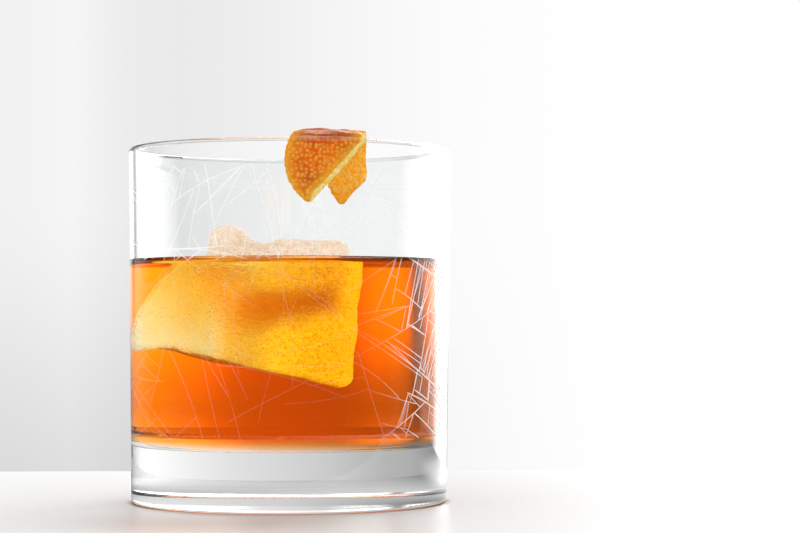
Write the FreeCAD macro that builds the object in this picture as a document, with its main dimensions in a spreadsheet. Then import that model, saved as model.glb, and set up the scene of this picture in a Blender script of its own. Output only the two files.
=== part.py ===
import FreeCAD, Part
import math
import os
import Sketcher

# An old fashioned in a straight-sided tumbler with a heavy base: the glass, the drink that fills it
# up to its level, one large block of half-melted ice standing out of the drink, and a triangle of
# orange peel folded over the rim.
#
# Frame: millimetres, +Z up, origin on the axis of the glass at the table, front towards -Y.
# The flat underside of the glass is the face that it stands on.

# Driving dimensions, in millimetres and degrees.
SIZES = {
    # Glass
    "glass_height": 90.0,
    "rim_radius": 41.25,
    "foot_radius": 40.2,
    "rim_wall": 2.15,
    "floor_wall": 2.6,
    "floor_depth": 14.5,
    "floor_round": 4.2,
    "foot_round": 1.2,
    # Drink
    "drink_level": 60.3,
    "meniscus_rise": 1.4,
    "meniscus_reach": 2.5,
    # Ice, in its own frame: upright, with the origin in the middle of its bottom face
    "ice_side": 38.0,
    "ice_draft": 8.0,
    "ice_stock": 48.0,
    "ice_upright_round": 4.0,
    "ice_bottom_round": 2.4,
    "ice_melt_round": 2.4,
    # What melting has left as seen from the front, from left to right: a slope up to the waist
    # where the drink has eaten in, a shoulder, a dip and a plateau
    "ice_slope_across": 27.3,
    "ice_slope_drop": 7.7,
    "ice_waist_across": 16.9,
    "ice_waist_height": 22.8,
    "ice_shoulder_across": 17.1,
    "ice_shoulder_height": 31.3,
    "ice_dip_left": 9.5,
    "ice_dip_left_height": 32.8,
    "ice_dip_radius": 5.6,
    "ice_dip_right": 0.1,
    "ice_dip_right_height": 31.9,
    "ice_plateau_across": 28.0,
    "ice_plateau_height": 39.2,
    # Where the block lies in the glass
    "ice_turn": 30.0,
    "ice_tilt": 15.0,
    "ice_across": -11.1,
    "ice_along": -5.0,
    "ice_bottom": 35.4,
    # Orange peel: across is measured along the rim from the middle of the fold
    "peel_thickness": 1.6,
    "peel_bearing": 13.0,
    "peel_sweep": 44.0,
    "peel_drop": 18.0,
    "outer_leg_flare": 0.9,
    "inner_leg_flare": 2.6,
    "fold_left": 8.3,
    "fold_right": 9.8,
    "outer_tip_across": 4.9,
    "outer_tip_drop": 16.0,
    "outer_edge_bend": 11.5,
    "inner_heel_across": 1.2,
    "inner_heel_drop": 11.6,
    "inner_tip_across": 4.9,
    "inner_tip_drop": 16.2,
    "inner_hip_across": 11.6,
    "inner_hip_drop": 9.0,
    "peel_corner_round": 1.2,
    "peel_edge_round": 0.35,
}

doc = FreeCAD.newDocument("old_fashioned")
sheet = doc.addObject("Spreadsheet::Sheet", "size")
for row, (word, number) in enumerate(SIZES.items(), 1):
    sheet.set(f"A{row}", word)
    sheet.set(f"B{row}", str(number))
    sheet.setAlias(f"B{row}", word)
doc.recompute()

# Expressions that several sketches share
RIM_MIDDLE = "(size.rim_radius - size.rim_wall / 2)"
RIM_BORE = "(size.rim_radius - size.rim_wall)"
FOLD_SHOULDER = "(size.glass_height - 0.1 * size.rim_wall)"
IN_WALL = "(size.rim_radius - 0.95 * size.rim_wall)"
RIM_SPRING = "(size.glass_height - size.rim_wall / 2)"
FLOOR_BORE = "(size.foot_radius - size.floor_wall)"
DRINK_EDGE = "(size.drink_level + size.meniscus_rise)"


def bore_at(height):
    """Inside radius of the tapered wall at a height, as an expression."""
    share = f"({height} - size.floor_depth) / ({RIM_SPRING} - size.floor_depth)"
    return f"({FLOOR_BORE} + ({RIM_BORE} - {FLOOR_BORE}) * {share})"


def value(expression):
    return float(sheet.evalExpression(expression))


def add_body(name):
    body = doc.addObject("PartDesign::Body", name)
    body.Label = name
    return body


def add_sketch(body, name, plane_role, offset=None):
    """Sketch on one of the body's own origin planes, moved along its normal by offset."""
    sketch = body.newObject("Sketcher::SketchObject", name)
    plane = next(p for p in body.Origin.OriginFeatures if p.Role == plane_role)
    sketch.AttachmentSupport = [(plane, "")]
    sketch.MapMode = "FlatFace"
    if offset:
        sketch.setExpression("AttachmentOffset.Base.z", offset)
    return sketch


def bend_centre(start, end, radius, centre_on_left):
    """Centre of the shorter arc of a radius from start to end."""
    half = (end - start) / 2
    normal = FreeCAD.Vector(-half.y, half.x, 0).normalize()
    rise = math.sqrt(radius**2 - half.Length**2)
    return start + half + normal * (rise if centre_on_left else -rise)


def tie_to_origin(sketch, side, end, axis, expression):
    """Hold one end of a side at a signed distance from the origin along an axis."""
    distance = value(expression)
    if abs(distance) < 1e-9:
        other_axis = -2 if axis == "X" else -1
        sketch.addConstraint(Sketcher.Constraint("PointOnObject", side, end, other_axis))
    elif distance > 0:
        tie = Sketcher.Constraint(f"Distance{axis}", -1, 1, side, end, distance)
        sketch.setExpression(f"Constraints[{sketch.addConstraint(tie)}]", expression)
    else:
        tie = Sketcher.Constraint(f"Distance{axis}", side, end, -1, 1, -distance)
        sketch.setExpression(f"Constraints[{sketch.addConstraint(tie)}]", f"-({expression})")


def draw_outline(sketch, corners, bends=None):
    """Closed outline through corners, each a pair of expressions for across and up.

    bends makes some sides arcs: number of the corner that the side starts from ->
    (radius expression, whether the centre lies on the left of the way to the next corner).
    """
    bends = bends or {}
    spots = [FreeCAD.Vector(value(across), value(up), 0) for across, up in corners]
    ends = []
    for number, start in enumerate(spots):
        end = spots[(number + 1) % len(spots)]
        if number not in bends:
            side = sketch.addGeometry(Part.LineSegment(start, end))
            ends.append((side, 1, 2))
            continue
        radius, centre_on_left = bends[number]
        centre = bend_centre(start, end, value(radius), centre_on_left)
        first, last = (start, end) if centre_on_left else (end, start)
        angles = [math.atan2(p.y - centre.y, p.x - centre.x) for p in (first, last)]
        circle = Part.Circle(centre, FreeCAD.Vector(0, 0, 1), value(radius))
        side = sketch.addGeometry(Part.ArcOfCircle(circle, *angles))
        tie = sketch.addConstraint(Sketcher.Constraint("Radius", side, value(radius)))
        sketch.setExpression(f"Constraints[{tie}]", radius)
        ends.append((side, 1, 2) if centre_on_left else (side, 2, 1))
    for number, (across, up) in enumerate(corners):
        side, start, _ = ends[number]
        before, _, finish = ends[number - 1]
        sketch.addConstraint(Sketcher.Constraint("Coincident", before, finish, side, start))
        tie_to_origin(sketch, side, start, "X", across)
        tie_to_origin(sketch, side, start, "Y", up)


def revolve(body, name, sketch):
    """Solid of revolution about the upright axis of the sketch."""
    turned = body.newObject("PartDesign::Revolution", name)
    turned.Profile = sketch
    turned.ReferenceAxis = (sketch, ["V_Axis"])
    turned.Angle = 360
    doc.recompute()
    return turned


def round_edges(body, name, radius, wanted):
    """Fillet those edges of the body so far that the test picks."""
    doc.recompute()
    base = body.Tip
    edges = [f"Edge{n}" for n, edge in enumerate(base.Shape.Edges, 1) if wanted(edge)]
    if not edges:
        raise RuntimeError(f"{name}: no edge to round")
    fillet = body.newObject("PartDesign::Fillet", name)
    fillet.Base = (base, edges)
    fillet.setExpression("Radius", radius)
    doc.recompute()


def is_ring(edge, radius, height):
    """Whether an edge is a level circle about the axis of the glass."""
    if not isinstance(edge.Curve, Part.Circle):
        return False
    return abs(edge.Curve.Radius - radius) < 0.01 and abs(edge.Curve.Center.z - height) < 0.01


def left_by(cut_sketch):
    """Test for the edges that a cut along a sketch has left: seen square on, they lie on its lines."""
    place = cut_sketch.Placement
    outline = cut_sketch.Shape

    def lies_on_outline(edge):
        first, last = edge.FirstParameter, edge.LastParameter
        for parameter in (first, (first + last) / 2, last):
            spot = place.inverse().multVec(edge.valueAt(parameter))
            seen = Part.Vertex(place.multVec(FreeCAD.Vector(spot.x, spot.y, 0)))
            if outline.distToShape(seen)[0] > 0.001:
                return False
        return True

    return lies_on_outline


def is_leg_corner(edge):
    """Whether an edge runs straight outwards at a low corner of a trimmed leg of the peel."""
    outwards = isinstance(edge.Curve, Part.Line) and abs(edge.tangentAt(0).x) > 0.999
    return outwards and edge.BoundBox.ZMax < value(RIM_SPRING)


def cut_through(body, name, sketch, reverse=False, both_ways=False):
    """Pocket through everything on one side of the sketch, which has to remove something."""
    doc.recompute()
    before = body.Tip.Shape.Volume
    pocket = body.newObject("PartDesign::Pocket", name)
    pocket.Profile = sketch
    pocket.Type = "ThroughAll"
    pocket.Reversed = reverse
    pocket.Midplane = both_ways
    doc.recompute()
    if not pocket.Shape.Volume < before - 1:
        raise RuntimeError(f"{name} removed nothing")


def make_glass():
    """Tumbler turned from one profile: thick flat base, wall that thins upwards, round lip."""
    body = add_body("glass")
    profile = add_sketch(body, "glass_profile", "XZ_Plane")
    draw_outline(
        profile,
        [
            ("0", "0"),
            ("size.foot_radius", "0"),
            ("size.rim_radius", RIM_SPRING),
            (RIM_MIDDLE, "size.glass_height"),
            (RIM_BORE, RIM_SPRING),
            (FLOOR_BORE, "size.floor_depth"),
            ("0", "size.floor_depth"),
        ],
        {2: ("size.rim_wall / 2", True), 3: ("size.rim_wall / 2", True)},
    )
    revolve(body, "glass_turned", profile)
    foot, floor = value("size.foot_radius"), value(FLOOR_BORE)
    depth = value("size.floor_depth")
    round_edges(body, "foot_rounded", "size.foot_round", lambda e: is_ring(e, foot, 0))
    round_edges(body, "floor_rounded", "size.floor_round", lambda e: is_ring(e, floor, depth))
    return body


def make_ice():
    """Block that tapers upwards, melted to a waist, a lump, a dip and a plateau, edges rounded."""
    body = add_body("ice")
    footprint = add_sketch(body, "ice_footprint", "XY_Plane")
    half = "size.ice_side / 2"
    draw_outline(
        footprint,
        [(f"-{half}", f"-{half}"), (half, f"-{half}"), (half, half), (f"-{half}", half)],
    )
    block = body.newObject("PartDesign::Pad", "ice_block")
    block.Profile = footprint
    block.setExpression("Length", "size.ice_stock")
    block.setExpression("TaperAngle", "-size.ice_draft")
    melt = add_sketch(body, "ice_melt", "XZ_Plane")
    melt.setExpression(
        "AttachmentOffset",
        "placement(vector(0; 0; 0); rotation(vector(0; 1; 0); -size.ice_turn))",
    )
    draw_outline(
        melt,
        [
            ("-size.ice_slope_across", "-size.ice_slope_drop"),
            ("-size.ice_waist_across", "size.ice_waist_height"),
            ("-size.ice_shoulder_across", "size.ice_shoulder_height"),
            ("-size.ice_dip_left", "size.ice_dip_left_height"),
            ("-size.ice_dip_right", "size.ice_dip_right_height"),
            ("size.ice_plateau_across", "size.ice_plateau_height"),
            ("size.ice_plateau_across", "2 * size.ice_stock"),
            ("-size.ice_slope_across", "2 * size.ice_stock"),
        ],
        {3: ("size.ice_dip_radius", True)},
    )
    cut_through(body, "ice_melted", melt, both_ways=True)
    is_melted = left_by(melt)
    waist = value("size.ice_waist_height")
    round_edges(body, "ice_uprights_rounded", "size.ice_upright_round",
                lambda e: abs(e.tangentAt(e.FirstParameter).z) > 0.9 and not is_melted(e))
    round_edges(body, "ice_bottom_rounded", "size.ice_bottom_round",
                lambda e: e.BoundBox.ZMax < 0.01)
    round_edges(body, "ice_melt_rounded", "size.ice_melt_round",
                lambda e: e.BoundBox.ZMin > waist + 1 and is_melted(e))
    body.setExpression(
        "Placement",
        "placement(vector(size.ice_across; size.ice_along; size.ice_bottom);"
        " rotation(vector(0; 1; 0); size.ice_tilt) * rotation(vector(0; 0; 1); size.ice_turn))",
    )
    return body


def make_drink(ice):
    """Liquid that meets the glass face to face, creeps up its wall and leaves room for the ice."""
    body = add_body("filling")
    profile = add_sketch(body, "filling_profile", "XZ_Plane")
    wall = bore_at(DRINK_EDGE)
    creep = "(size.meniscus_reach^2 + size.meniscus_rise^2) / (2 * size.meniscus_rise)"
    draw_outline(
        profile,
        [
            ("0", "size.floor_depth"),
            (FLOOR_BORE, "size.floor_depth"),
            (wall, DRINK_EDGE),
            (f"{wall} - size.meniscus_reach", "size.drink_level"),
            ("0", "size.drink_level"),
        ],
        {2: (creep, False)},
    )
    revolve(body, "filling_turned", profile)
    floor, depth = value(FLOOR_BORE), value("size.floor_depth")
    round_edges(body, "filling_rounded", "size.floor_round", lambda e: is_ring(e, floor, depth))
    drink = doc.addObject("Part::Cut", "drink")
    drink.Label = "drink"
    drink.Base = body
    drink.Tool = ice
    return drink


def make_orange_peel():
    """Triangle of peel folded over the lip: a hooked band about the axis, trimmed leg by leg.

    The body's own +X points outwards through the middle of the fold and its +Y runs along the rim.
    """
    body = add_body("orange_peel")
    section = add_sketch(body, "peel_section", "XZ_Plane")
    low = "size.glass_height - size.peel_drop"
    back = f"{RIM_BORE} - size.peel_thickness"
    draw_outline(
        section,
        [
            ("size.rim_radius + size.peel_thickness + size.outer_leg_flare", low),
            ("size.rim_radius + size.peel_thickness", RIM_SPRING),
            (RIM_MIDDLE, "size.glass_height + size.peel_thickness"),
            (back, RIM_SPRING),
            (f"{back} - size.inner_leg_flare", low),
            (f"{RIM_BORE} - size.inner_leg_flare", low),
            (RIM_BORE, RIM_SPRING),
            (RIM_MIDDLE, "size.glass_height"),
            ("size.rim_radius", RIM_SPRING),
            ("size.rim_radius + size.outer_leg_flare", low),
        ],
        {
            1: ("size.rim_wall / 2 + size.peel_thickness", True),
            2: ("size.rim_wall / 2 + size.peel_thickness", True),
            6: ("size.rim_wall / 2", False),
            7: ("size.rim_wall / 2", False),
        },
    )
    band = revolve(body, "peel_band", section)
    band.Midplane = True
    band.setExpression("Angle", "size.peel_sweep")

    above = "size.glass_height + 2 * size.peel_thickness"
    frame = [
        ("-2 * size.peel_drop", "size.glass_height - 2 * size.peel_drop"),
        ("2 * size.peel_drop", "size.glass_height - 2 * size.peel_drop"),
        ("2 * size.peel_drop", "size.glass_height + size.peel_drop"),
        ("-2 * size.peel_drop", "size.glass_height + size.peel_drop"),
    ]
    outer_trim = add_sketch(body, "outer_leg_trim", "YZ_Plane", IN_WALL)
    draw_outline(outer_trim, frame)
    draw_outline(
        outer_trim,
        [
            ("-size.fold_left", above),
            ("-size.fold_left", FOLD_SHOULDER),
            ("-size.outer_tip_across", "size.glass_height - size.outer_tip_drop"),
            ("size.fold_right", FOLD_SHOULDER),
            ("size.fold_right", above),
        ],
        {1: ("size.outer_edge_bend", True)},
    )
    cut_through(body, "outer_leg", outer_trim, reverse=True)
    inner_trim = add_sketch(body, "inner_leg_trim", "YZ_Plane", IN_WALL)
    draw_outline(inner_trim, frame)
    draw_outline(
        inner_trim,
        [
            ("-size.fold_left", above),
            ("-size.fold_left", FOLD_SHOULDER),
            ("size.inner_heel_across", "size.glass_height - size.inner_heel_drop"),
            ("size.inner_tip_across", "size.glass_height - size.inner_tip_drop"),
            ("size.inner_hip_across", "size.glass_height - size.inner_hip_drop"),
            ("size.fold_right", FOLD_SHOULDER),
            ("size.fold_right", above),
        ],
    )
    cut_through(body, "inner_leg", inner_trim)
    round_edges(body, "peel_corners_rounded", "size.peel_corner_round", is_leg_corner)
    round_edges(body, "peel_edges_rounded", "size.peel_edge_round", lambda edge: True)
    body.setExpression(
        "Placement",
        "placement(vector(0; 0; 0); rotation(vector(0; 0; 1); size.peel_bearing - 90))",
    )
    return body


def check_and_export(parts):
    """Stop on any failed object or broken solid, then write one STEP file for each piece."""
    doc.recompute()
    for item in doc.Objects:
        if "Invalid" in item.State or "Error" in item.State:
            raise RuntimeError(f"{item.Label}: {item.State}")
    for piece in parts:
        shape = piece.Shape
        if shape.isNull() or not shape.isValid() or len(shape.Solids) != 1:
            raise RuntimeError(f"{piece.Label}: not one valid solid")
    os.makedirs("parts", exist_ok=True)
    for piece in parts:
        piece.Shape.exportStep(f"parts/{piece.Label}.step")
        print(f"{piece.Label}: {piece.Shape.Volume / 1000:.2f} cm3")


glass = make_glass()
ice = make_ice()
drink = make_drink(ice)
orange_peel = make_orange_peel()
check_and_export([glass, drink, ice, orange_peel])
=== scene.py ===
import math
import random

import bmesh
import bpy
from mathutils import Euler, Matrix, Vector, noise
from mathutils.bvhtree import BVHTree


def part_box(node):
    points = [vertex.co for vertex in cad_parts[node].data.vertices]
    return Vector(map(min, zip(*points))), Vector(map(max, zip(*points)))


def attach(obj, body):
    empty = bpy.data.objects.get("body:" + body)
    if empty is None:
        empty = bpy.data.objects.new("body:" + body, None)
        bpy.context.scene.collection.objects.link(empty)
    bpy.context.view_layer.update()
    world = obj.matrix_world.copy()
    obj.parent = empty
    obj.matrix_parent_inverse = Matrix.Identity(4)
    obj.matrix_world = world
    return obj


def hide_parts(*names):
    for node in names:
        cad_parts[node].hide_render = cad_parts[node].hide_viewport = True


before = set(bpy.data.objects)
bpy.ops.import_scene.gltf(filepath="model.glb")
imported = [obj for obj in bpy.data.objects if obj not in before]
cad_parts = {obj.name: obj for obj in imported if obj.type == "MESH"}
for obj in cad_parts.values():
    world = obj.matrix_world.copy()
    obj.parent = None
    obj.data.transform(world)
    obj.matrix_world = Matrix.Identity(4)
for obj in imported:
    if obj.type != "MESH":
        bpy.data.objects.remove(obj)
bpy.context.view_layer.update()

# An old fashioned in a tumbler: clear glass with an etched web, amber drink, a large block of
# clouded ice and a piece of orange peel folded over the rim. Metres, +Z up, front towards -Y.

MM = 0.001

# Glass, read from the frame where it shows there
glass_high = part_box("glass")[1]
drink_low, drink_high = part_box("drink")
ice_low, ice_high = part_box("ice")
HEIGHT = glass_high.z
RIM_RADIUS = glass_high.x
RIM_WALL = 2.15 * MM
FOOT_RADIUS = 40.2 * MM
FLOOR_DEPTH = drink_low.z
FLOOR_WALL = 2.6 * MM
FLOOR_BORE = FOOT_RADIUS - FLOOR_WALL
FLOOR_ROUND = 4.2 * MM
RIM_SPRING = HEIGHT - RIM_WALL / 2

# Drink
MENISCUS_RISE = 1.4 * MM
MENISCUS_REACH = 2.5 * MM
DRINK_EDGE = drink_high.z
DRINK_LEVEL = DRINK_EDGE - MENISCUS_RISE
BITE = 0.15 * MM  # how far the drink reaches into the wall
CREEP_RISE = 0.9 * MM  # how far the drink creeps up the ice
CREEP_REACH = 1.1 * MM

# Ice
ICE_GRAIN = 0.5 * MM  # size of the cells that its skin is rebuilt from
SAG_DROP = 4.5 * MM  # full drop to the left; the block ends where it has dropped by 3.3 mm
DENT_DEPTH = 0.55
RIPPLE_DEPTH = 0.07
FROST_DEPTH = 0.14
ICE_IOR = 1.33
BUBBLES = 2000


# ---------------------------------------------------------------- shader maths

class Wire:
    """One value or colour in a node tree; arithmetic on it adds Math nodes."""

    def __init__(self, tree, socket):
        self.tree = tree
        self.socket = socket

    def out(self, name):
        return Wire(self.tree, self.socket.node.outputs[name])

    def maths(self, operation, *others):
        inputs = dict(enumerate((self, *others)))
        return self.tree.add("ShaderNodeMath", {"operation": operation}, inputs)

    def __add__(self, other):
        return self.maths("ADD", other)

    __radd__ = __add__

    def __mul__(self, other):
        return self.maths("MULTIPLY", other)

    __rmul__ = __mul__

    def __sub__(self, other):
        return self.maths("SUBTRACT", other)

    def __rsub__(self, other):
        return self.tree.add("ShaderNodeMath", {"operation": "SUBTRACT"}, {0: other, 1: self})

    def __truediv__(self, other):
        return self.maths("DIVIDE", other)

    def __pow__(self, other):
        return self.maths("POWER", other)

    def rising(self, low, high):
        """0 below low, 1 above high, smooth between."""
        return self.tree.add(
            "ShaderNodeMapRange",
            {"interpolation_type": "SMOOTHSTEP"},
            {"Value": self, "From Min": low, "From Max": high},
        )


class Tree:
    """A node tree that is built through add() alone."""

    def __init__(self, owner):
        owner.use_nodes = True
        self.nodes = owner.node_tree.nodes
        self.links = owner.node_tree.links
        self.nodes.clear()

    def add(self, kind, settings=None, sockets=None):
        node = self.nodes.new(kind)
        for name, setting in (settings or {}).items():
            if name == "stops":
                self.set_stops(node.color_ramp, setting)
            else:
                setattr(node, name, setting)
        for key, given in (sockets or {}).items():
            socket = node.inputs[key]
            if isinstance(given, Wire):
                self.links.new(given.socket, socket)
            else:
                socket.default_value = given
        live = [socket for socket in node.outputs if socket.enabled]
        return Wire(self, live[0]) if live else None

    @staticmethod
    def set_stops(ramp, stops):
        while len(ramp.elements) < len(stops):
            ramp.elements.new(0.5)
        for element, (place, colour) in zip(ramp.elements, stops):
            element.position = place
            element.color = colour if len(colour) == 4 else (*colour, 1.0)


def grey(level):
    return (level, level, level, 1.0)


def new_material(name):
    material = bpy.data.materials.new(name)
    return material, Tree(material)


def by_bearing(tree, direction, shades):
    """Grey shade by compass bearing from (bearing in degrees, shade) pairs; 0 is behind the glass."""
    turn = direction.out("X").maths("ARCTAN2", direction.out("Y")) / (2 * math.pi) + 0.5
    stops = [(bearing / 360 + 0.5, grey(shade)) for bearing, shade in shades]
    return tree.add("ShaderNodeValToRGB", {"stops": stops}, {"Fac": turn})


def blend(tree, share, low, high):
    return tree.add(
        "ShaderNodeMix", {"data_type": "RGBA"}, {"Factor": share, 6: low, 7: high}
    ).out(2)


# ---------------------------------------------------------------- mesh helpers

def mesh_piece(name, vertices, faces, material, smooth=True):
    mesh = bpy.data.meshes.new(name)
    mesh.from_pydata([tuple(v) for v in vertices], [], faces)
    mesh.update()
    mesh.polygons.foreach_set("use_smooth", [smooth] * len(mesh.polygons))
    piece = bpy.data.objects.new(name, mesh)
    bpy.context.scene.collection.objects.link(piece)
    mesh.materials.append(material)
    return piece


def applied(piece, name):
    """Puts the mesh that a piece's modifiers make in place of its own."""
    bpy.context.view_layer.update()
    graph = bpy.context.evaluated_depsgraph_get()
    mesh = bpy.data.meshes.new_from_object(piece.evaluated_get(graph))
    piece.modifiers.clear()
    piece.data = mesh
    mesh.name = name


def turned(name, profile, segments, material):
    """Closed solid of revolution from (radius, height) points that start and end on the axis."""
    vertices = [Vector((0, 0, profile[0][1]))]
    rings = profile[1:-1]
    for radius, height in rings:
        for step in range(segments):
            angle = 2 * math.pi * step / segments
            vertices.append(Vector((radius * math.cos(angle), radius * math.sin(angle), height)))
    vertices.append(Vector((0, 0, profile[-1][1])))
    last = len(vertices) - 1
    faces = []
    for step in range(segments):
        after = (step + 1) % segments
        faces.append((0, 1 + after, 1 + step))
        for ring in range(len(rings) - 1):
            low, high = 1 + ring * segments, 1 + (ring + 1) * segments
            faces.append((low + step, low + after, high + after, high + step))
        top = 1 + (len(rings) - 1) * segments
        faces.append((top + step, top + after, last))
    return mesh_piece(name, vertices, faces, material)


def arc(centre, radius, start, end, steps):
    """Points of an arc between two angles in degrees."""
    angles = [math.radians(start + (end - start) * n / steps) for n in range(steps + 1)]
    return [(centre[0] + radius * math.cos(a), centre[1] + radius * math.sin(a)) for a in angles]


def soft_step(value, low, high):
    """0 below low, 1 above high, smooth between."""
    share = max(0.0, min(1.0, (value - low) / (high - low)))
    return share * share * (3 - 2 * share)


def bore_at(height):
    """Inside radius of the tapered wall."""
    rim_bore = RIM_RADIUS - RIM_WALL
    share = (height - FLOOR_DEPTH) / (RIM_SPRING - FLOOR_DEPTH)
    return FLOOR_BORE + (rim_bore - FLOOR_BORE) * share


def outside_at(height):
    """Outside radius of the tapered wall."""
    return FOOT_RADIUS + (RIM_RADIUS - FOOT_RADIUS) * height / RIM_SPRING


# ---------------------------------------------------------------- materials

def glass_material():
    material, tree = new_material("clear_glass")
    shader = tree.add("ShaderNodeBsdfPrincipled", {}, {
        "Base Color": (0.985, 0.995, 0.99, 1), "Roughness": 0.0, "IOR": 1.5, "Transmission Weight": 1.0,
    })
    tree.add("ShaderNodeOutputMaterial", {}, {"Surface": shader})
    return material


def drink_material():
    material, tree = new_material("amber_drink")
    shader = tree.add("ShaderNodeBsdfPrincipled", {}, {
        "Base Color": (1, 1, 1, 1), "Roughness": 0.0, "IOR": 1.345, "Transmission Weight": 1.0,
        "Specular Tint": (0.05, 0.05, 0.05, 1),
    })
    body = tree.add("ShaderNodeVolumeAbsorption", {}, {"Color": (0.994, 0.8, 0.0, 1), "Density": 152.0})
    tree.add("ShaderNodeOutputMaterial", {}, {"Surface": shader, "Volume": body})
    return material


def ice_material():
    """Wet ice, clear at heart, with a clouded, finely rippled skin and a painted glow in place of the light
    that scatters in it.
    """
    material, tree = new_material("clouded_ice")
    place = tree.add("ShaderNodeTexCoord").out("Object")
    cloud = tree.add("ShaderNodeTexNoise", {}, {"Vector": place, "Scale": 70.0, "Detail": 4.0})
    grain = tree.add("ShaderNodeTexNoise", {}, {"Vector": place, "Scale": 900.0, "Detail": 3.0})
    flow = tree.add("ShaderNodeMapping", {}, {"Vector": place, "Scale": (420.0, 420.0, 2000.0)})
    ripple = tree.add("ShaderNodeTexNoise", {}, {"Vector": flow, "Scale": 1.0, "Detail": 2.0})
    height = ripple.out(0) + 0.5 * grain.out(0)
    bump = tree.add("ShaderNodeBump", {}, {"Strength": 0.5, "Distance": 0.0003, "Height": height})
    painted = tree.add("ShaderNodeSeparateColor", {}, {
        "Color": tree.add("ShaderNodeAttribute", {"attribute_name": "cloud"}).out("Color"),
    })
    cloudy, dry, deep = painted.out("Red"), painted.out("Green"), painted.out("Blue")
    # Painted shade: where painted deep, the clear ice is tinted dark orange, deepening its middle top.
    clear = tree.add("ShaderNodeBsdfPrincipled", {}, {
        "Base Color": blend(tree, deep, grey(1.0), (0.95, 0.36, 0.01, 1)),
        "Roughness": 0.2, "IOR": ICE_IOR, "Transmission Weight": 1.0,
        "Specular Tint": (0.05, 0.05, 0.05, 1),
        "Normal": bump,
    })
    fleck = tree.add("ShaderNodeTexNoise", {}, {"Vector": place, "Scale": 620.0, "Detail": 3.0})
    # Above the drink the skin is painted peach with orange flecks: painted orange light from the drink below.
    painted_drink_light = dry * fleck.out(0).rising(0.44, 0.66)
    snow = blend(tree, dry, grey(0.98), (0.96, 0.87, 0.79, 1))
    snow = blend(tree, painted_drink_light * 0.8, snow, (0.92, 0.6, 0.36, 1))
    sent_back = tree.add("ShaderNodeBsdfDiffuse", {}, {"Color": snow, "Normal": bump})
    let_through = tree.add("ShaderNodeBsdfTranslucent", {}, {"Color": snow, "Normal": bump})
    scattered = tree.add("ShaderNodeMixShader", {}, {0: 0.5, 1: sent_back, 2: let_through})
    # Painted glow: an emission painted by place on the skin stands in for light scattered inside the ice.
    glow = tree.add("ShaderNodeAttribute", {"attribute_name": "glow"}).out("Color")
    painted_glow = tree.add("ShaderNodeEmission", {}, {"Color": glow, "Strength": 1.0})
    clouded = tree.add("ShaderNodeAddShader", {}, {0: scattered, 1: painted_glow})
    cells = tree.add("ShaderNodeTexVoronoi", {}, {"Vector": place, "Scale": 1400.0})
    grit = cells.out("Distance").rising(0.2, 0.55)
    crumb = grain.out(0).rising(0.4, 0.62)
    streak = ripple.out(0).rising(0.35, 0.65)
    share = cloudy * (0.3 + 0.4 * cloud.out(0) + 0.3 * crumb + 0.25 * streak + 0.35 * grit)
    shader = tree.add("ShaderNodeMixShader", {}, {0: share, 1: clear, 2: clouded})
    tree.add("ShaderNodeOutputMaterial", {}, {"Surface": shader})
    return material


def bubble_material():
    material, tree = new_material("trapped_air")
    shader = tree.add("ShaderNodeBsdfGlass", {}, {
        "Color": grey(1.0), "Roughness": 0.0, "IOR": 1 / ICE_IOR,
    })
    tree.add("ShaderNodeOutputMaterial", {}, {"Surface": shader})
    return material


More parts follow.
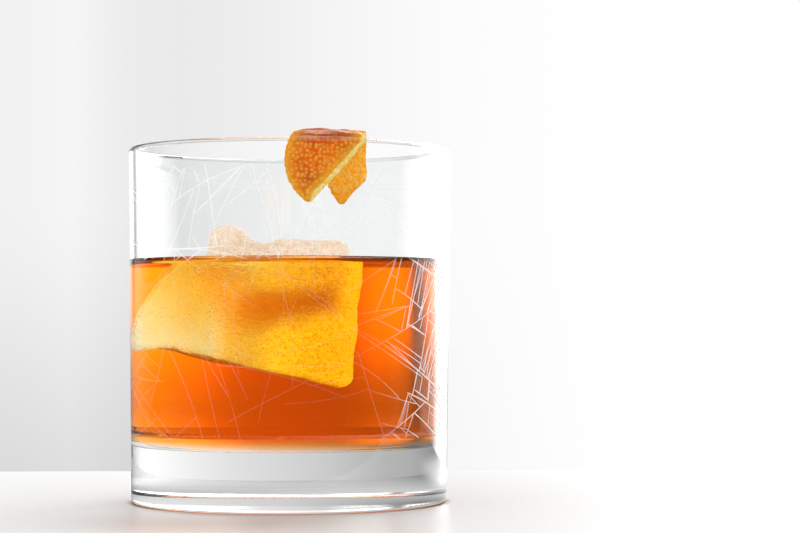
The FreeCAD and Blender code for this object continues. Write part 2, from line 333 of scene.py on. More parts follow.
def peel_material():
    """Orange rind full of pale oil glands, deeper in the middle, with painted light: lighter at the thin
    edges, a painted glow on the pith of the outer leg, a painted golden backlight on the inner leg, and a
    darker fold with painted highlights along its creases.
    """
    material, tree = new_material("orange_rind")
    zones = tree.add("ShaderNodeSeparateColor", {}, {
        "Color": tree.add("ShaderNodeAttribute", {"attribute_name": "peel_zones"}).out("Color"),
    })
    depth, thin, inside = zones.out("Red"), zones.out("Green"), zones.out("Blue")
    place = tree.add("ShaderNodeTexCoord").out("Object")
    rind_place = tree.add("ShaderNodeTexCoord").out("UV")
    spread = tree.add("ShaderNodeMapping", {}, {"Vector": rind_place, "Scale": (24.0, 40.0, 1.0)})
    cells = tree.add("ShaderNodeTexVoronoi", {"voronoi_dimensions": "2D"}, {
        "Vector": spread, "Scale": 1.0, "Randomness": 0.8,
    })
    fullness = tree.add("ShaderNodeSeparateColor", {}, {"Color": cells.out("Color")}).out("Red")
    gland = (1 - cells.out("Distance").rising(0.2, 0.52)) * (0.35 + 0.65 * fullness)
    soft = tree.add("ShaderNodeTexNoise", {}, {"Vector": place, "Scale": 150.0, "Detail": 3.0})
    patch = soft.out(0).rising(0.35, 0.68)
    rise = tree.add("ShaderNodeSeparateXYZ", {}, {"Vector": place}).out("Z")
    folded = rise.rising(RIM_SPRING - 0.6 * MM, HEIGHT + 0.3 * MM)
    creased = tree.add("ShaderNodeMapping", {}, {
        "Vector": rind_place, "Rotation": (0, 0, 0.1), "Scale": (3.5, 85.0, 1.0),
    })
    # Painted shade and highlight: the fold's top is painted darker, with pale lines along its creases as
    # painted highlights.
    crease_highlight = tree.add("ShaderNodeTexNoise", {}, {"Vector": creased, "Scale": 1.0, "Detail": 2.0})
    crease_highlight = crease_highlight.out(0).rising(0.42, 0.62)
    top = blend(tree, crease_highlight, (0.33, 0.05, 0.02, 1), (0.72, 0.33, 0.24, 1))
    deep = blend(tree, patch, (0.5, 0.03, 0.0, 1), (0.9, 0.12, 0.0, 1))
    deep = blend(tree, folded, deep, top)
    # Painted light: the rind is made lighter near its thin edges, as if lit through.
    lit = blend(tree, thin * 0.9, deep, (1.0, 0.38, 0.003, 1))
    rind = blend(tree, gland * (0.9 - 0.75 * folded), lit, (1.0, 0.47, 0.07, 1))
    speckle = tree.add("ShaderNodeTexNoise", {}, {"Vector": place, "Scale": 1300.0, "Detail": 2.0})
    grit = speckle.out(0).rising(0.4, 0.62)
    pith = blend(tree, grit, (1.0, 0.7, 0.1, 1), (1.0, 0.95, 0.55, 1))
    # Painted backlight: the inner leg's pith side is coloured golden as if lit through the rind from behind.
    glow = blend(tree, grit * 0.8, (1.0, 0.54, 0.01, 1), (1.0, 0.9, 0.36, 1))
    under = blend(tree, inside, pith, glow)
    colour = blend(tree, depth.rising(0.13, 0.32), rind, under)
    height = gland * 0.8 + 0.5 * speckle.out(0)
    bump = tree.add("ShaderNodeBump", {}, {"Strength": 0.6, "Distance": 0.0002, "Height": height})
    skin = tree.add("ShaderNodeBsdfPrincipled", {}, {
        "Base Color": colour, "Roughness": 0.42 + 0.2 * depth, "Normal": bump, "IOR": 1.45,
        "Specular IOR Level": 0.1,
        "Subsurface Weight": 0.1, "Subsurface Radius": (1.0, 0.6, 0.3), "Subsurface Scale": 0.0012,
    })
    backlit = tree.add("ShaderNodeBsdfTranslucent", {}, {"Color": blend(tree, inside, pith, glow)})
    share = 0.06 + 0.2 * thin + 0.5 * depth * (1 - inside) + 0.55 * inside
    shader = tree.add("ShaderNodeMixShader", {}, {0: share, 1: skin, 2: backlit})
    # Painted glow: the pith of the outer leg gives out light of its own.
    rim_light = tree.add("ShaderNodeEmission", {}, {"Color": pith, "Strength": 0.85})
    cut = depth.rising(0.13, 0.32) * (1 - inside) * 0.6
    shader = tree.add("ShaderNodeMixShader", {}, {0: cut, 1: shader, 2: rim_light})
    tree.add("ShaderNodeOutputMaterial", {}, {"Surface": shader})
    return material


def table_material():
    """Smooth white table, painted darker to the right, with a painted amber shadow before the glass and a
    painted contact shadow round the foot; in glass it falls into set shades.
    """
    material, tree = new_material("white_table")
    place = tree.add("ShaderNodeSeparateXYZ", {}, {
        "Vector": tree.add("ShaderNodeTexCoord").out("Object"),
    })
    across = (place.out("X") + 0.2) / 0.8
    shade = tree.add("ShaderNodeValToRGB", {"stops": [
        (0.0, grey(0.1)), (0.19, grey(0.24)), (0.25, grey(0.6)), (0.28, grey(0.82)), (0.31, grey(1.1)),
        (0.5, grey(1.2)), (0.65, grey(0.1)),
    ]}, {"Fac": across})
    path = tree.add("ShaderNodeLightPath")
    refracted = path.out("Is Transmission Ray")
    through = path.out("Is Glossy Ray").maths("MAXIMUM", refracted)
    from_middle = (place.out("X") * place.out("X") + place.out("Y") * place.out("Y")) ** 0.5
    under_foot = 1 - from_middle.rising(FOOT_RADIUS - 1.5 * MM, FOOT_RADIUS + 1.5 * MM)
    under_shade = tree.add("ShaderNodeValToRGB", {"stops": [
        (0.0, grey(1.1)), (0.03, grey(1.05)), (0.14, grey(0.9)), (0.35, grey(0.74)), (0.5, grey(0.62)),
        (0.66, grey(0.4)), (0.76, grey(0.2)), (0.87, grey(0.12)), (1.0, grey(0.12)),
    ]}, {"Fac": place.out("X") / (2 * FOOT_RADIUS) + 0.5})
    beside = place.out("X").rising(0.05, 0.09) * (1 - place.out("X").rising(0.13, 0.2))
    sheen = beside * place.out("Y").rising(0.0, 0.05) * (1 - refracted)
    shade = blend(tree, sheen, blend(tree, under_foot, shade, under_shade), grey(4.0))
    # Painted shadow: a dark amber ring round the foot stands in for the contact shadow.
    painted_contact_shadow = 1 - from_middle.rising(FOOT_RADIUS - 0.5 * MM, FOOT_RADIUS + 1.8 * MM)
    # Painted shadow: a soft amber patch before the glass stands in for the drink's tinted shadow on the
    # table.
    aside, before = (place.out("X") + 0.016) / 0.044, (place.out("Y") + 0.06) / 0.038
    amber = 1 - ((aside * aside + before * before) ** 0.5).rising(0.0, 1.15)
    # Painted shade: the table top is made darker towards the right, where the lamp falls on it unshadowed.
    table_colour_with_painted_shade = blend(tree, place.out("X").rising(-0.03, 0.05), grey(0.75), grey(0.58))
    table_colour_with_painted_shade = blend(tree, 0.9 * amber, table_colour_with_painted_shade, (0.48, 0.38, 0.32, 1))
    table_colour_with_painted_shade = blend(tree, 0.95 * painted_contact_shadow, table_colour_with_painted_shade, (0.3, 0.1, 0.04, 1))
    top = tree.add("ShaderNodeBsdfPrincipled", {}, {
        "Base Color": table_colour_with_painted_shade, "Roughness": 0.38, "Specular IOR Level": 0.2,
    })
    plain = tree.add("ShaderNodeEmission", {}, {"Color": shade, "Strength": 1.0})
    shader = tree.add("ShaderNodeMixShader", {}, {0: through, 1: top, 2: plain})
    tree.add("ShaderNodeOutputMaterial", {}, {"Surface": shader})
    return material


def etched_material():
    """Frosted scratch in glass: white and matt with a faint painted glow, partly see-through, and shown more
    strongly where light would catch it.
    """
    material, tree = new_material("etched_frost")
    place = tree.add("ShaderNodeTexCoord").out("Object")
    worn = tree.add("ShaderNodeTexNoise", {}, {"Vector": place, "Scale": 140.0, "Detail": 2.0})
    spot = tree.add("ShaderNodeSeparateXYZ", {}, {"Vector": place})
    # Painted light: how much of the web shows is set by bearing round the wall, faint at the front, boldest
    # at the front left above the drink and at the right below its level.
    over_drink = by_bearing(tree, spot, [
        (-180, 0.3), (-158, 0.75), (-130, 1.0), (-112, 0.9), (-80, 0.5), (-60, 0.05), (60, 0.05), (100, 0.3),
        (130, 0.1), (160, 0.1), (180, 0.3),
    ])
    over_amber = by_bearing(tree, spot, [
        (-180, 0.07), (-155, 0.1), (-125, 0.13), (-90, 0.2), (-30, 0.08), (30, 0.08), (90, 0.5),
        (104, 1.0), (130, 0.85), (138, 0.35), (148, 0.12), (160, 0.08), (180, 0.07),
    ])
    strength = blend(tree, spot.out("Z").rising(DRINK_LEVEL, DRINK_EDGE), over_amber, over_drink)
    strength = tree.add("ShaderNodeSeparateColor", {}, {"Color": strength}).out("Red")
    shader = tree.add("ShaderNodeBsdfPrincipled", {}, {
        "Base Color": (0.96, 0.965, 0.97, 1), "Roughness": 0.6, "Specular IOR Level": 0.0,
        "Emission Color": (1.0, 0.98, 0.96, 1), "Emission Strength": 0.2,
        "Alpha": strength * (0.7 + 0.3 * worn.out(0).rising(0.3, 0.66)),
    })
    tree.add("ShaderNodeOutputMaterial", {}, {"Surface": shader})
    return material


# ---------------------------------------------------------------- pieces

def melted_ice():
    """The CAD block with a fine skin, dented and rippled by melting, its low left end let down."""
    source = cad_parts["ice"]
    piece = bpy.data.objects.new("melting_ice", source.data.copy())
    bpy.context.scene.collection.objects.link(piece)
    piece.data.materials.clear()
    remesh = piece.modifiers.new("skin", "REMESH")
    remesh.mode = "VOXEL"
    remesh.voxel_size = ICE_GRAIN
    relax = piece.modifiers.new("relax", "SMOOTH")
    relax.iterations = 10
    applied(piece, "melting_ice")
    normals = [vertex.normal.copy() for vertex in piece.data.vertices]
    for vertex, away in zip(piece.data.vertices, normals):
        spot = vertex.co / MM
        sag = soft_step(-spot.x, 24, 38) * soft_step(-spot.z, -50, -42)
        vertex.co.z -= SAG_DROP * sag
        dents = noise.noise(spot * 0.11 + Vector((3, 1, 7))) + 0.35 * noise.noise(spot * 0.33)
        ripples = noise.noise(Vector((spot.x * 0.25, spot.y * 0.25, spot.z * 1.1)))
        above = max(0.0, min(1.0, (vertex.co.z - DRINK_EDGE) / MM))
        frost = above * noise.noise(spot * 1.1)
        vertex.co += away * (DENT_DEPTH * dents + RIPPLE_DEPTH * ripples + FROST_DEPTH * frost) * MM
    paint_cloud(piece, normals)
    piece.data.polygons.foreach_set("use_smooth", [True] * len(piece.data.polygons))
    piece.data.materials.append(ice_material())
    return piece


def paint_cloud(piece, normals):
    """How clouded the skin is and how strong its painted glow is: most at the left, low right and top."""
    turn, tilt = math.radians(30), math.radians(15)
    lean = Matrix.Rotation(tilt, 3, "Y") @ Matrix.Rotation(turn, 3, "Z")
    left, front, far = (lean @ Vector(way) for way in ((-1, 0, 0), (0, -1, 0), (0, 1, 0)))
    shades, glows = [], []
    for vertex, away in zip(piece.data.vertices, normals):
        spot = vertex.co / MM
        patch = 0.5 + 0.5 * noise.noise(spot * 0.09 + Vector((9, 2, 4)))
        blot = 2.4 * noise.noise(spot * 0.12 + Vector((5, 8, 1)))
        to_left, to_front = max(0.0, away.dot(left)), max(0.0, away.dot(front))
        low_right = soft_step(spot.x + blot, -16, -2) * soft_step(0.28 * spot.x - spot.z + blot, -50, -42)
        right_edge = soft_step(spot.x + 0.5 * blot, 6, 13)
        left_end = soft_step(-spot.x, 19, 31)
        clear_corner = soft_step(spot.z - 58.6 - 1.02 * (spot.x + 26.5), -1.5, 1)
        veiled = 1 - soft_step(spot.x + 19.7 - 0.26 * (58 - spot.z) + blot, -3, 5)
        cloud = (0.12 + 0.78 * veiled) * (1 - clear_corner) * to_left
        top_band = soft_step(spot.z + 0.5 * blot, 51, 56) * soft_step(spot.x + blot, -14, -4)
        bright = max(low_right, right_edge, 0.7 * top_band)
        to_right = max(0.0, -away.dot(left))
        cloud += (0.03 + 0.72 * bright) * max(to_front, 0.6 * to_left) + 0.5 * right_edge * to_right
        cloud += 0.15 * patch * max(0.0, away.dot(far)) + 0.1 * abs(away.z)
        above = soft_step(vertex.co.z, DRINK_LEVEL, DRINK_LEVEL + 0.8 * MM)
        cloud = cloud * (1 - above) + 0.85 * above
        # Painted shade: deep marks a spot in the middle top of the block whose clear ice is tinted deeper
        # orange.
        deep = math.exp(-(((spot.x + 6) / 15) ** 2) - ((spot.z - 49.5) / 6) ** 2)
        pale = max(0.7 * low_right, 0.9 * right_edge)
        shades += [min(1.0, cloud), above, deep * max(to_front, to_left) * (1 - pale), 1.0]
        # Painted glow colour: bluish white at the left end, warm at the low right and right edge, faint grey
        # above the drink.
        sunk = (Vector((0.36, 0.36, 0.34)) + left_end * Vector((0.18, 0.46, 1.7))
                + bright * Vector((0.42, 0.36, -0.3)))
        glows += [*(sunk * (1 - above) + Vector((0.26, 0.25, 0.23)) * above), 1.0]
    for name, colours in (("cloud", shades), ("glow", glows)):
        layer = piece.data.color_attributes.new(name, "FLOAT_COLOR", "POINT")
        layer.data.foreach_set("color", colours)


def ball_template():
    """Corners and faces of a small round bubble of 80 triangles."""
    mesh = bmesh.new()
    bmesh.ops.create_icosphere(mesh, subdivisions=2, radius=1.0)
    corners = [vertex.co.copy() for vertex in mesh.verts]
    faces = [tuple(vertex.index for vertex in face.verts) for face in mesh.faces]
    mesh.free()
    return corners, faces


def trapped_bubbles(ice):
    """Air bubbles in the ice, thickest behind the lower right of its front."""
    skin = BVHTree.FromObject(ice, bpy.context.evaluated_depsgraph_get())
    chance = random.Random(11)
    ball_corners, ball_faces = ball_template()
    vertices, faces = [], []
    count = 0
    while count < BUBBLES:
        spot = Vector((
            chance.uniform(ice_low.x, ice_high.x),
            chance.uniform(ice_low.y, ice_high.y),
            chance.uniform(ice_low.z, ice_high.z),
        ))
        share = (spot.x - ice_low.x) / (ice_high.x - ice_low.x)
        lowness = 1 - (spot.z - ice_low.z) / (ice_high.z - ice_low.z)
        weight = 0.12 + 0.9 * max(0.0, share - 0.25) * (0.35 + lowness)
        if chance.random() > weight:
            continue
        near, normal, _, away = skin.find_nearest(spot)
        radius = chance.uniform(0.09, 0.2) * MM * (1.6 if chance.random() < 0.15 else 1.0)
        if (near - spot).dot(normal) <= 0 or away < radius + 0.15 * MM or away > 4 * MM:
            continue
        start = len(vertices)
        vertices += [spot + corner * radius for corner in ball_corners]
        faces += [tuple(start + n for n in face) for face in ball_faces]
        count += 1
    return mesh_piece("trapped_bubbles", vertices, faces, bubble_material())


def drink_profile():
    """(radius, height) points from the middle of the floor round to the middle of the surface."""
    corner = arc(
        (FLOOR_BORE - FLOOR_ROUND + 0.05 * MM, FLOOR_DEPTH + FLOOR_ROUND),
        FLOOR_ROUND + BITE, -90, 0, 14,
    )
    points = [(0, corner[0][1])]
    points += [(corner[0][0] * n / 6, corner[0][1]) for n in range(1, 6)]
    points += corner
    start = FLOOR_DEPTH + FLOOR_ROUND
    crisp = 0.04 * MM  # a last short step keeps the turn into the meniscus from shading the wall
    heights = [start + (DRINK_EDGE - start) * n / 8 for n in range(1, 8)] + [DRINK_EDGE - crisp, DRINK_EDGE]
    points += [(bore_at(height) + BITE, height) for height in heights]
    creep = (MENISCUS_REACH**2 + MENISCUS_RISE**2) / (2 * MENISCUS_RISE)
    rim = bore_at(DRINK_EDGE)
    sweep = math.degrees(math.asin(MENISCUS_REACH / creep))
    points += arc((rim - MENISCUS_REACH, DRINK_LEVEL + creep), creep, sweep - 90, -90, 10)
    inner = rim - MENISCUS_REACH
    rings = 90
    points += [(inner * (1 - n / rings), DRINK_LEVEL) for n in range(1, rings)]
    points.append((0, DRINK_LEVEL))
    return points


def poured_drink(ice):
    """The drink with its creep up wall and ice, cut round the ice a hair inside its skin."""
    piece = turned("poured_drink", drink_profile(), 256, drink_material())
    ice_skin = BVHTree.FromObject(ice, bpy.context.evaluated_depsgraph_get())
    for vertex in piece.data.vertices:
        if abs(vertex.co.z - DRINK_LEVEL) < 1e-6:
            away = ice_skin.find_nearest(vertex.co)[3]
            vertex.co.z += CREEP_RISE * math.exp(-away / CREEP_REACH)
    hollow = bpy.data.objects.new("ice_hollow", ice.data.copy())
    bpy.context.scene.collection.objects.link(hollow)
    shrink = hollow.modifiers.new("shrink", "DISPLACE")
    shrink.strength = -0.1 * MM
    shrink.mid_level = 0.0
    applied(hollow, "ice_hollow")
    cut = piece.modifiers.new("room_for_ice", "BOOLEAN")
    cut.operation = "DIFFERENCE"
    cut.object = hollow
    cut.solver = "EXACT"
    applied(piece, "poured_drink")
    bpy.data.objects.remove(hollow)
    return piece


# Orange peel: across is measured along the rim from the middle of the fold
PEEL_BEARING = math.radians(13 - 90)
PEEL_THICKNESS = 1.5 * MM
OUTER_FLARE = 0.9 * MM
INNER_FLARE = 2.6 * MM
PEEL_DROP = 18 * MM
CUT_SLANT = 2.5  # how far the aslant cut shows, mm
FOLD_BULGE = 0.55 * MM
FOLD_WRINKLE = 0.5 * MM
LEG_CURL = 0.35 * MM
PEEL_LAYERS = (-0.5, -0.38, 0.38, 0.5)  # from the pith side to the rind
PEEL_ROWS, PEEL_COLUMNS = 150, 64


def eased(points, place):
    """Value at a place on the line through (place, value) pairs."""
    if place <= points[0][0]:
        return points[0][1]
    for (start, low), (end, high) in zip(points, points[1:]):
        if place <= end:
            share = (place - start) / (end - start)
            return low + (high - low) * share
    return points[-1][1]


def fold_spot(along):
    """Point and outward direction in the (radius, height) plane, along the middle of the peel.

    along is 0 on top of the lip, negative down the outer leg and positive down the inner one.
    """
    bend = (RIM_WALL + PEEL_THICKNESS) / 2
    quarter = bend * math.pi / 2
    middle = RIM_RADIUS - RIM_WALL / 2
    if abs(along) <= quarter:
        angle = math.pi / 2 + along / bend
        away = Vector((math.cos(angle), math.sin(angle)))
        return Vector((middle, RIM_SPRING)) + away * bend, away
    drop = abs(along) - quarter
    side = 1 if along < 0 else -1
    flare = (OUTER_FLARE if along < 0 else -INNER_FLARE) * drop / (PEEL_DROP - RIM_WALL / 2)
    return Vector((middle + side * bend + flare, RIM_SPRING - drop)), Vector((side, 0))


def sheet_faces(rows, columns):
    """Faces round a sheet of stacked grids: its two sides, then its four edges."""
    def square(*corners):
        return [(layer * (rows + 1) + row) * (columns + 1) + column for layer, row, column in corners]

    top = len(PEEL_LAYERS) - 1
    faces = []
    for row in range(rows):
        for column in range(columns):
            right, down = column + 1, row + 1
            faces.append(square((0, row, column), (0, down, column), (0, down, right), (0, row, right)))
            faces.append(
                square((top, row, column), (top, row, right), (top, down, right), (top, down, column))
            )
    for layer in range(top):
        above = layer + 1
        for row in range(rows):
            for column, flip in ((0, False), (columns, True)):
                side = square(
                    (layer, row, column), (above, row, column),
                    (above, row + 1, column), (layer, row + 1, column),
                )
                faces.append(side[::-1] if flip else side)
        for column in range(columns):
            for row, flip in ((0, True), (rows, False)):
                side = square(
                    (layer, row, column), (above, row, column),
                    (above, row, column + 1), (layer, row, column + 1),
                )
                faces.append(side[::-1] if flip else side)
    return faces


def folded_peel():
    """Triangle of peel over the lip: rind outside, pith inside, cut aslant along its right side."""
    quarter = (RIM_WALL + PEEL_THICKNESS) / 2 * math.pi / 2 / MM
    # (way down the leg, left edge, right edge), in millimetres
    outline = [
        (-17.5, -5.1, -4.6), (-17.2, -5.8, -4.0), (-16.2, -6.9, -3.0), (-14.5, -8.3, -1.5),
        (-12.1, -9.6, 0.8), (-9.6, -10.2, 3.0), (-7.3, -10.4, 5.1), (-4.6, -10.1, 7.4),
        (-quarter, -9.6, 9.2), (-1.2, -8.6, 9.9), (0, -8.2, 10.3), (quarter, -7.4, 10.6),
        (4.6, -5.4, 10.8), (7.3, -3.2, 10.8), (9.8, -1.0, 11.5), (11.9, 0.6, 11.3),
        (13.4, 1.2, 9.6), (14.8, 1.9, 7.9), (16.4, 3.2, 6.4), (17.3, 4.0, 5.6), (17.6, 4.6, 5.2),
    ]
    lefts = [(place, left) for place, left, _ in outline]
    rights = [(place, right) for place, _, right in outline]
    rows, columns = PEEL_ROWS, PEEL_COLUMNS
    first, last = outline[0][0], outline[-1][0]
    turn = Matrix.Rotation(PEEL_BEARING, 3, "Z")
    vertices, zones, marks = [], [], []
    for layer in PEEL_LAYERS:
        for row in range(rows + 1):
            place = first + (last - first) * row / rows
            along = place * MM
            spot, away = fold_spot(along)
            ragged = 0.25 * noise.noise(Vector((place * 1.3, 4, 0)))
            ragged += 0.3 * noise.noise(Vector((place * 3.1, 9, 0)))
            left = eased(lefts, place) + ragged
            right = eased(rights, place) - 0.6 * ragged
            wide = max(0.0, min(1.0, (right - left) / 6))
            shrink = 0.22 if abs(layer) == 0.5 else 0.0
            cut_back = CUT_SLANT * (0.5 + layer) if place < 0 else 0.4
            high_right = right - cut_back * wide
            for column in range(columns + 1):
                share = column / columns
                across = (left + shrink) + (high_right - shrink - left - shrink) * share
                curl = LEG_CURL * noise.noise(Vector((place * 0.16, across * 0.16, 1.7)))
                near_fold = max(0.0, 1 - abs(place) / (1.6 * quarter))
                wrinkle = FOLD_WRINKLE * near_fold * noise.noise(Vector((place * 1.7, across * 0.28, 6)))
                offset = layer * PEEL_THICKNESS + (abs(curl) if abs(place) > quarter else 0)
                bulge = FOLD_BULGE * near_fold * max(0.0, 1 - ((across - 1.5) / 9) ** 2)
                offset += (wrinkle + bulge) * (0.5 + layer)
                point = spot + away * offset
                angle = across * MM / (RIM_RADIUS - RIM_WALL / 2)
                flat = Vector((point.x * math.cos(angle), point.x * math.sin(angle), point.y))
                vertices.append(turn @ flat)
                near_edge = min(across - left, high_right - across)
                thin = math.exp(-max(0.0, near_edge) / 1.7)
                zones.append((0.5 - layer, thin, 1.0 if place > quarter else 0.0, 1.0))
                marks.append((across / 24 + 0.5, place / 40 + 0.5))
    piece = mesh_piece("folded_peel", vertices, sheet_faces(rows, columns), peel_material())
    layer = piece.data.color_attributes.new("peel_zones", "FLOAT_COLOR", "POINT")
    layer.data.foreach_set("color", [part for zone in zones for part in zone])
    unwrapped = piece.data.uv_layers.new(name="rind")
    for loop in piece.data.loops:
        unwrapped.data[loop.index].uv = marks[loop.vertex_index]
    return piece


# Etched web: fine cracks that grow over the unrolled wall until they meet an older one
WEB_LOW = 17 * MM
WEB_HIGH = 84 * MM
WALL_ROUND = 2 * math.pi * (FOOT_RADIUS + RIM_RADIUS) / 2
WEB_PATCH = 3 * MM
CRACKS = 400


def bold_side(along):
    """How bold the web is along the wall: most a sixth of the way round, less seven eighths round."""
    around = (along / WALL_ROUND) % 1.0
    right = math.exp(-(((around - 0.16) / 0.06) ** 2))
    left = 0.38 * math.exp(-(((around - 0.87) / 0.05) ** 2))
    return right + left


def crossing(start, end, older):
    """Share of the way from start to end at which an older crack is first met, or None."""
    first = None
    step = end - start
    for from_x, from_y, to_x, to_y in sorted(older):
        side_x, side_y = to_x - from_x, to_y - from_y
        turn = step.x * side_y - step.y * side_x
        if abs(turn) < 1e-12:
            continue
        gap_x, gap_y = from_x - start.x, from_y - start.y
        share = (gap_x * side_y - gap_y * side_x) / turn
        other = (gap_x * step.y - gap_y * step.x) / turn
        if 1e-6 < share <= 1 and 0 <= other <= 1 and (first is None or share < first):
            first = share
    return first


def patch_of(spot):
    """Key of the small square that a place on the unrolled wall lies in."""
    return int(spot.x // WEB_PATCH), int(spot.y // WEB_PATCH)


def grown_arm(chance, seed, heading, bend, reach, older):
    """One way out of a seed: goes on until it has its length, leaves the band or meets a crack."""
    spot, angle, arm = seed.copy(), heading, [seed.copy()]
    pass_over = 1 if chance.random() < 0.3 else 0
    for _ in range(int(reach / MM)):
        angle += bend
        ahead = spot + Vector((math.cos(angle), math.sin(angle))) * MM
        if not WEB_LOW < ahead.y < WEB_HIGH:
            break
        near = older.get(patch_of(spot), set()) | older.get(patch_of(ahead), set())
        met = crossing(spot, ahead, near)
        if met is not None:
            if pass_over == 0:
                arm.append(spot + (ahead - spot) * met)
                break
            pass_over -= 1
        arm.append(ahead)
        spot = ahead
    return arm


def grown_cracks(chance):
    """Cracks as lists of points on the unrolled wall, each with its width."""
    cracks = []
    older = {}
    while len(cracks) < CRACKS:
        seed = Vector((chance.uniform(0, WALL_ROUND), chance.uniform(WEB_LOW, WEB_HIGH)))
        bold = bold_side(seed.x)
        if chance.random() > 0.25 + 0.75 * bold:
            continue
        young = len(cracks) / CRACKS
        if bold > 0.4:
            heading = math.radians(chance.choice((62, -24, 71, -31)) + chance.gauss(0, 5))
        else:
            heading = chance.uniform(0, math.pi)
        reach = (24 - 15 * young) * MM * chance.uniform(0.6, 1.4)
        bend = chance.gauss(0, 0.012) * (1 - 0.7 * min(1, bold))
        ahead = grown_arm(chance, seed, heading, bend, reach, older)
        behind = grown_arm(chance, seed, heading + math.pi, -bend, reach, older)
        line = behind[::-1] + ahead[1:]
        if len(line) < 4:
            continue
        for start, end in zip(line, line[1:]):
            for key in {patch_of(start), patch_of(end)}:
                older.setdefault(key, set()).add((start.x, start.y, end.x, end.y))
        width = (0.13 + 0.08 * chance.random() + 0.24 * min(1, bold) * (1 - young)) * MM
        cracks.append((line, width))
    return cracks


def etched_web():
    """Hair-thin ribbons laid on the outside of the wall."""
    chance = random.Random(23)
    vertices, faces = [], []
    for line, width in grown_cracks(chance):
        start = len(vertices)
        for number, spot in enumerate(line):
            before, after = line[max(0, number - 1)], line[min(len(line) - 1, number + 1)]
            way = (after - before).normalized()
            taper = 0.35 if number in (0, len(line) - 1) else 1.0
            side = Vector((-way.y, way.x)) * width * 0.5 * taper
            for edge in (spot - side, spot + side):
                radius = outside_at(edge.y) + 0.03 * MM
                angle = 2 * math.pi * edge.x / WALL_ROUND - math.pi / 2
                vertices.append(Vector((radius * math.cos(angle), radius * math.sin(angle), edge.y)))
        for number in range(len(line) - 1):
            low = start + 2 * number
            faces.append((low, low + 2, low + 3, low + 1))
    return mesh_piece("etched_web", vertices, faces, etched_material())


# ---------------------------------------------------------------- studio

def make_camera():
    camera = bpy.data.cameras.new("camera")
    camera.lens = 99.2
    camera.sensor_width = 36.0
    camera.clip_start = 0.01
    viewer = bpy.data.objects.new("camera", camera)
    viewer.location = (0, -566 * MM, 46 * MM)
    viewer.rotation_euler = Euler((math.radians(90 + 1.42), 0, math.radians(-2.86)))
    bpy.context.scene.collection.objects.link(viewer)
    bpy.context.scene.camera = viewer


def make_table():
    """White table top with its far edge close behind the glass, and its front out of the mirror's way."""
    white = table_material()
    left, right, deep = -0.5, 0.9, 0.02
    for name, near, far in (("table", -0.12, 0.115), ("table_front", -0.75, -0.12)):
        corners = [
            (x, y, z) for z in (-deep, 0) for x, y in ((left, near), (right, near), (right, far), (left, far))
        ]
        faces = [(4, 5, 6, 7), (3, 2, 1, 0), (0, 1, 5, 4), (1, 2, 6, 5), (2, 3, 7, 6), (3, 0, 4, 7)]
        top = mesh_piece(name, corners, faces, white, smooth=False)
        if name == "table_front":
            top.visible_glossy = False
            top.visible_transmission = False


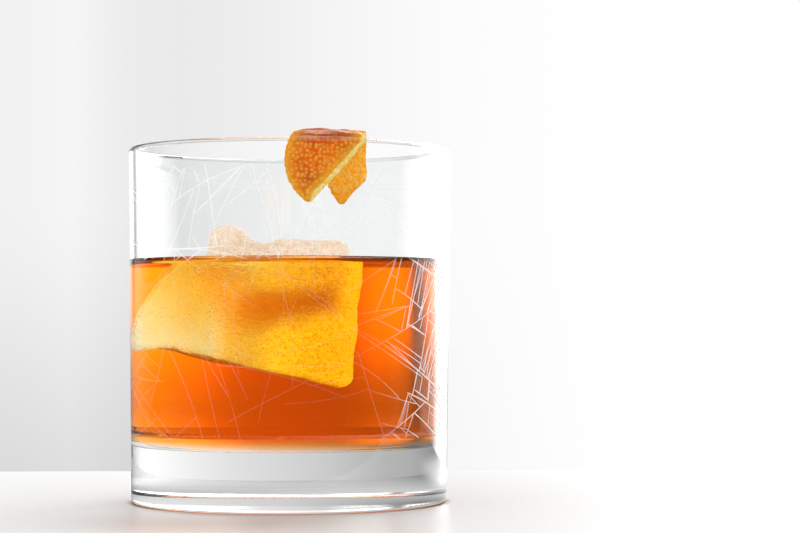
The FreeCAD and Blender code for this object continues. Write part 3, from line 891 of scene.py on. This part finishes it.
def make_world():
    """Pale backdrop for the camera, a room with a bright window side for glass, plain light else."""
    world = bpy.data.worlds.new("studio")
    bpy.context.scene.world = world
    tree = Tree(world)
    direction = tree.add("ShaderNodeSeparateXYZ", {}, {
        "Vector": tree.add("ShaderNodeTexCoord").out("Generated"),
    })
    height = direction.out("Z")
    backdrop = by_bearing(tree, direction, [
        (-180, 0.85), (-90, 0.8), (-46, 0.85), (-20, 0.88), (-7.4, 0.88), (-5.4, 0.92), (-4.2, 0.84),
        (-2.3, 0.82), (0, 0.88), (2, 0.93), (4, 0.97), (8, 1.0), (90, 1.0), (180, 0.85),
    ])
    upper_room = by_bearing(tree, direction, [
        (-180, 0.03), (-75, 0.04), (-58, 0.1), (-50, 0.8), (-42, 1.5), (-35, 1.4), (-31, 0.3), (-28, 0.4),
        (-25, 1.6), (-21, 2.3), (-15, 2.2), (-8, 0.86), (0, 1.02),
        (6, 1.1), (10, 1.8), (16, 3.0), (60, 3.2), (74, 2.2), (82, 0.2), (90, 0.04), (180, 0.03),
    ])
    lower_room = by_bearing(tree, direction, [
        (-180, 0.03), (-62, 0.04), (-52, 0.2), (-36, 0.4), (-24, 0.45), (-10, 0.62), (0, 0.72), (13, 0.82),
        (25, 0.95), (38, 1.1), (60, 1.4), (74, 1.2), (82, 0.2), (90, 0.04), (180, 0.03),
    ])
    high_room = by_bearing(tree, direction, [
        (-180, 0.6), (-90, 0.3), (-25, 0.5), (5, 1.4), (14, 2.4), (74, 2.4), (90, 1.4), (110, 0.9),
        (180, 0.6),
    ])
    mirror_gain = by_bearing(tree, direction, [
        (-180, 1.0), (-60, 1.0), (-52, 0.45), (-16, 0.45), (-8, 1.0), (14, 1.0), (24, 5.0), (46, 5.5),
        (54, 1.5), (62, 0.3), (100, 1.0), (180, 1.0),
    ])
    path = tree.add("ShaderNodeLightPath")
    refracted = path.out("Is Transmission Ray")
    reflected = path.out("Is Glossy Ray") * (1 - refracted)
    room = blend(tree, height.rising(-0.04, 0.02), lower_room, upper_room)
    outer_room = blend(tree, height.rising(0.0, 0.1), grey(0.8), high_room)
    outer_room = blend(tree, height.rising(0.35, 0.6), outer_room, grey(3.0))
    open_room = blend(tree, height.maths("ABSOLUTE").rising(0.12, 0.3), room, outer_room)
    leftness = 1 - direction.out("X").rising(-0.12, 0.16)
    lift = 1 - 0.22 * leftness * (1 - height.rising(-0.1, 0.06))
    plain = tree.add("ShaderNodeBackground", {}, {"Color": grey(1.0), "Strength": 0.95})
    deep_inside = path.out("Transmission Depth").maths("GREATER_THAN", 5.5)
    scattered = tree.add("ShaderNodeBackground", {}, {
        "Color": grey(1.0), "Strength": 1.0 + 2.2 * deep_inside,
    })
    seen = tree.add("ShaderNodeBackground", {}, {"Color": backdrop, "Strength": lift})
    mirrored = tree.add("ShaderNodeBackground", {}, {
        "Color": open_room, "Strength": 1.0 + reflected * (mirror_gain - 1),
    })
    through = path.out("Is Glossy Ray").maths("MAXIMUM", refracted)
    after_scatter = path.out("Diffuse Depth").maths("GREATER_THAN", 0.5)
    clear_path = tree.add("ShaderNodeMixShader", {}, {0: after_scatter, 1: mirrored, 2: scattered})
    light = tree.add("ShaderNodeMixShader", {}, {0: through, 1: plain, 2: clear_path})
    light = tree.add("ShaderNodeMixShader", {}, {0: path.out("Is Camera Ray"), 1: light, 2: seen})
    tree.add("ShaderNodeOutputWorld", {}, {"Surface": light})


def add_softbox(name, bearing, rise, distance, wide, tall, radiance):
    lamp = bpy.data.lights.new(name, "AREA")
    lamp.shape = "RECTANGLE"
    lamp.size = wide
    lamp.size_y = tall
    lamp.energy = math.pi * radiance * wide * tall
    holder = bpy.data.objects.new(name, lamp)
    around, up = math.radians(bearing), math.radians(rise)
    place = Vector((math.sin(around) * math.cos(up), math.cos(around) * math.cos(up), math.sin(up)))
    target = Vector((0, 0, HEIGHT / 2))
    holder.location = target + place * distance
    holder.rotation_euler = (-place).to_track_quat("-Z", "Y").to_euler()
    holder.visible_camera = False
    holder.visible_glossy = False
    holder.visible_transmission = False
    bpy.context.scene.collection.objects.link(holder)


bpy.context.scene.view_settings.view_transform = "Standard"
make_camera()
make_table()
make_world()
add_softbox("window", 48, 24, 1.2, 1.1, 0.8, 1.2)

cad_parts["glass"].data.materials[0] = glass_material()
ice = melted_ice()
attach(ice, "root")
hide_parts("ice")
bubbles = trapped_bubbles(ice)
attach(bubbles, "root")
drink = poured_drink(ice)
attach(drink, "root")
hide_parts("drink")
web = etched_web()
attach(web, "root")
peel = folded_peel()
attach(peel, "root")
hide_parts("orange_peel")
